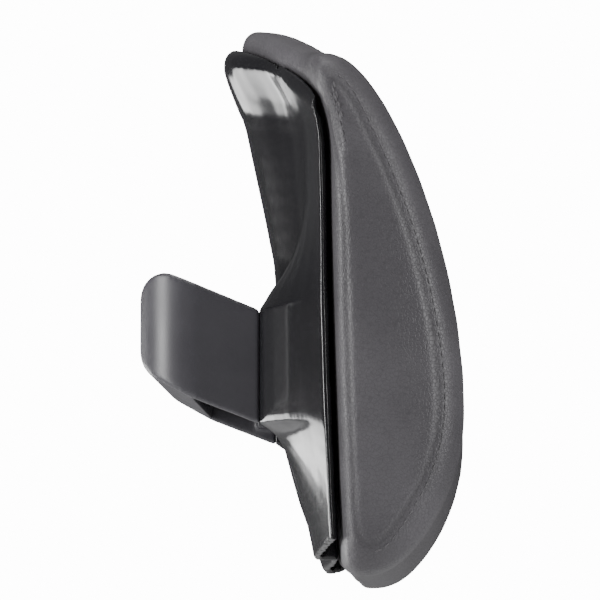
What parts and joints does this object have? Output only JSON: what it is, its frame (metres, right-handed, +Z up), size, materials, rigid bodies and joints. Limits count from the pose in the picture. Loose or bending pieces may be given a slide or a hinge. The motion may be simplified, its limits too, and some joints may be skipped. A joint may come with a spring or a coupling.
{
  "type": "chair headrest attachment",
  "caption": "Padded leather headrest with a moulded rear shell whose two arms carry a sprung clamp band that slides on the post of a chair's backrest.",
  "frame": {"origin": "middle of the post channel, at the height of the clamp band", "axes": "+Z up along the post, +X across the width, the cushion faces -Y"},
  "size_m": [0.3, 0.1392, 0.2479],
  "materials": {
    "leather": "satin black leather",
    "wadding": "polyester wadding",
    "foam": "moulded foam",
    "board": "moulded plywood",
    "gloss_shell": "gloss black moulding",
    "band_paint": "satin dark grey paint on die-cast aluminium",
    "glide_plastic": "matt",
    "bush_plastic": "natural",
    "lining": "moulded rubber lining",
    "steel": "zinc plated",
    "brass": "plain"
  },
  "bodies": {
    "headrest": {"leather_front_panel": "leather", "leather_side_panel_left": "leather", "leather_side_panel_right": "leather", "leather_back_margin": "leather", "wadding_wrap": "wadding", "foam_core": "foam", "support_board": "board", "cover_staples": "steel", "board_t_nuts": "steel", "rear_shell": "gloss_shell", "shell_screws": "steel", "shell_washers": "steel", "front_glide_pad": "glide_plastic", "clamp_band": "band_paint", "side_glide_left": "glide_plastic", "side_glide_right": "glide_plastic", "arm_inserts": "brass", "band_screws": "steel", "spring_plate": "steel", "plate_screws": "steel", "pin_bushes": "bush_plastic", "brake_spring_left": "steel", "brake_spring_right": "steel"},
    "brake_shoe": {"brake_carrier": "glide_plastic", "brake_lining": "lining", "guide_pins": "steel", "pin_clips": "steel"}
  },
  "joints": [
    {"name": "brake_slide", "type": "slide", "parent": "headrest", "child": "brake_shoe", "axis": [0, 1, 0], "range_m": [0, 0.003], "stiffness_N_per_m": 3000, "springref_m": -0.002, "deforming": ["brake_spring_left", "brake_spring_right"]}
  ]
}
